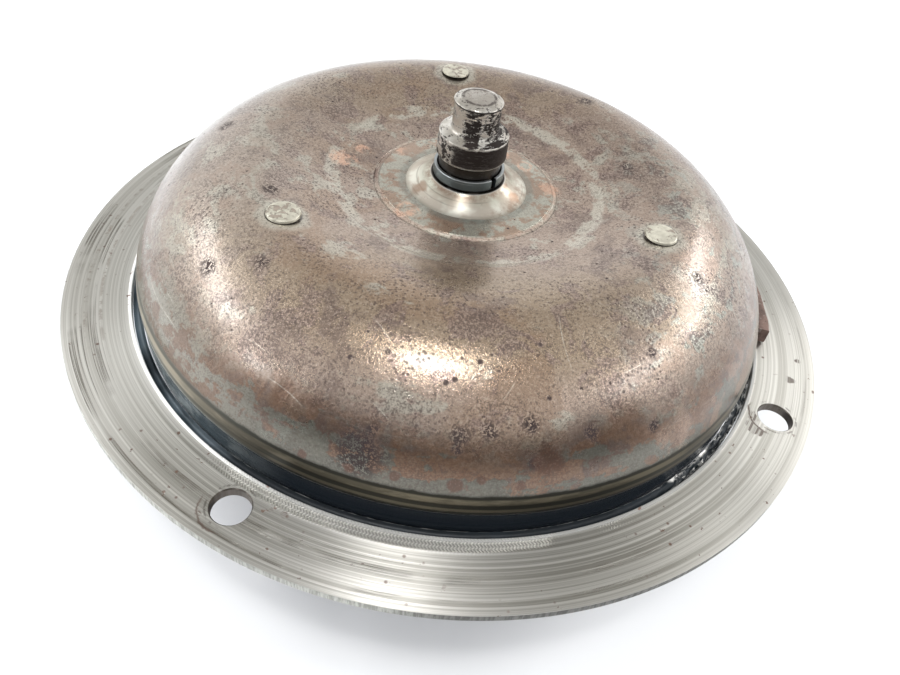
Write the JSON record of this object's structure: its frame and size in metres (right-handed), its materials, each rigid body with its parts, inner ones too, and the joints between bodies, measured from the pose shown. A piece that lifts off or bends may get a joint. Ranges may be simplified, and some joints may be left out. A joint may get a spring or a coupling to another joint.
{
  "type": "torque converter",
  "caption": "Torque converter: a domed cover with pilot stub and bolt flange, closed by a vaned pump shell with hub neck, round a turbine and a stator on a roller freewheel.",
  "frame": {"origin": "on the converter's axis, at the end face of the hub neck", "axes": "+Z along the axis, from the gearbox side to the engine side; +X through one of the neck's two drive slots"},
  "size_m": [0.24, 0.24, 0.1189],
  "materials": {
    "cover_steel": "deep-drawn steel, mottled brown with light rust and bare grey-green patches",
    "plate_steel": "pressed steel sheet, oiled",
    "cover_rivet_steel": "flat rivet heads, pale grey with rust specks",
    "stub_steel": "turned steel with rust spots and worn bright bands",
    "snap_ring_steel": "blued spring steel",
    "bronze": "turned bearing bronze",
    "flange_steel": "finely turned satin steel with a few rust stains",
    "weld_steel": "dark heat-blued weld bead",
    "weight_steel": "cut steel bar, rusty brown",
    "shell_steel": "deep-drawn steel, grey-brown",
    "wheel_steel": "pressed steel sheet, oiled",
    "neck_steel": "ground steel",
    "hub_steel": "machined steel",
    "race_steel": "hardened and ground steel",
    "cast_aluminium": "die-cast aluminium",
    "spring_steel": "folded spring strip",
    "roller_steel": "polished hardened steel"
  },
  "bodies": {
    "housing": {"front_cover": "cover_steel", "thrust_plate": "plate_steel", "cover_rivet_1": "cover_rivet_steel", "cover_rivet_2": "cover_rivet_steel", "cover_rivet_3": "cover_rivet_steel", "pilot_stub": "stub_steel", "stub_snap_ring": "snap_ring_steel", "pilot_bush": "bronze", "flange_ring": "flange_steel", "flange_weld": "weld_steel", "balance_weight": "weight_steel", "pump_shell": "shell_steel", "closing_weld": "weld_steel", "pump_vane_ring": "wheel_steel", "hub_neck": "neck_steel", "neck_weld": "weld_steel", "front_thrust_washer": "bronze", "rear_thrust_washer": "bronze"},
    "turbine": {"turbine_shell": "wheel_steel", "turbine_vane_ring": "wheel_steel", "turbine_hub": "hub_steel", "turbine_rivet_1": "wheel_steel", "turbine_rivet_2": "wheel_steel", "turbine_rivet_3": "wheel_steel", "turbine_rivet_4": "wheel_steel", "turbine_rivet_5": "wheel_steel", "turbine_rivet_6": "wheel_steel", "middle_thrust_washer": "bronze"},
    "stator_race": {"freewheel_inner_race": "race_steel"},
    "stator": {"stator_wheel": "cast_aluminium", "freewheel_cam": "race_steel", "front_side_plate": "hub_steel", "rear_side_plate": "hub_steel", "front_stator_ring": "snap_ring_steel", "rear_stator_ring": "snap_ring_steel", "freewheel_spring_1": "spring_steel", "freewheel_spring_2": "spring_steel", "freewheel_spring_3": "spring_steel", "freewheel_spring_4": "spring_steel", "freewheel_spring_5": "spring_steel", "freewheel_spring_6": "spring_steel", "freewheel_spring_7": "spring_steel", "freewheel_spring_8": "spring_steel"},
    "roller_1": {"freewheel_roller_1": "roller_steel"},
    "roller_2": {"freewheel_roller_2": "roller_steel"},
    "roller_3": {"freewheel_roller_3": "roller_steel"},
    "roller_4": {"freewheel_roller_4": "roller_steel"},
    "roller_5": {"freewheel_roller_5": "roller_steel"},
    "roller_6": {"freewheel_roller_6": "roller_steel"},
    "roller_7": {"freewheel_roller_7": "roller_steel"},
    "roller_8": {"freewheel_roller_8": "roller_steel"}
  },
  "joints": [
    {"name": "turbine_spin", "type": "hinge", "parent": "housing", "child": "turbine", "pos_m": [0, 0, 0.059], "axis": [0, 0, -1], "continuous": true},
    {"name": "race_spin", "type": "hinge", "parent": "housing", "child": "stator_race", "pos_m": [0, 0, 0.059], "axis": [0, 0, -1], "continuous": true},
    {"name": "stator_freewheel", "type": "hinge", "parent": "stator_race", "child": "stator", "pos_m": [0, 0, 0.059], "axis": [0, 0, -1], "range_deg": [0, 360]},
    {"name": "roller_1_roll", "type": "hinge", "parent": "stator", "child": "roller_1", "pos_m": [0.0218, 0, 0.059], "axis": [0, 0, -1], "range_deg": [0, 1852]},
    {"name": "roller_2_roll", "type": "hinge", "parent": "stator", "child": "roller_2", "pos_m": [0.01541, 0.01541, 0.059], "axis": [0, 0, -1], "range_deg": [0, 1852]},
    {"name": "roller_3_roll", "type": "hinge", "parent": "stator", "child": "roller_3", "pos_m": [0, 0.0218, 0.059], "axis": [0, 0, -1], "range_deg": [0, 1852]},
    {"name": "roller_4_roll", "type": "hinge", "parent": "stator", "child": "roller_4", "pos_m": [-0.01541, 0.01541, 0.059], "axis": [0, 0, -1], "range_deg": [0, 1852]},
    {"name": "roller_5_roll", "type": "hinge", "parent": "stator", "child": "roller_5", "pos_m": [-0.0218, 0, 0.059], "axis": [0, 0, -1], "range_deg": [0, 1852]},
    {"name": "roller_6_roll", "type": "hinge", "parent": "stator", "child": "roller_6", "pos_m": [-0.01541, -0.01541, 0.059], "axis": [0, 0, -1], "range_deg": [0, 1852]},
    {"name": "roller_7_roll", "type": "hinge", "parent": "stator", "child": "roller_7", "pos_m": [0, -0.0218, 0.059], "axis": [0, 0, -1], "range_deg": [0, 1852]},
    {"name": "roller_8_roll", "type": "hinge", "parent": "stator", "child": "roller_8", "pos_m": [0.01541, -0.01541, 0.059], "axis": [0, 0, -1], "range_deg": [0, 1852]}
  ],
  "couplings": [
    {"joint": "roller_1_roll", "follows": "stator_freewheel", "ratio": 5.1429},
    {"joint": "roller_2_roll", "follows": "stator_freewheel", "ratio": 5.1429},
    {"joint": "roller_3_roll", "follows": "stator_freewheel", "ratio": 5.1429},
    {"joint": "roller_4_roll", "follows": "stator_freewheel", "ratio": 5.1429},
    {"joint": "roller_5_roll", "follows": "stator_freewheel", "ratio": 5.1429},
    {"joint": "roller_6_roll", "follows": "stator_freewheel", "ratio": 5.1429},
    {"joint": "roller_7_roll", "follows": "stator_freewheel", "ratio": 5.1429},
    {"joint": "roller_8_roll", "follows": "stator_freewheel", "ratio": 5.1429}
  ]
}
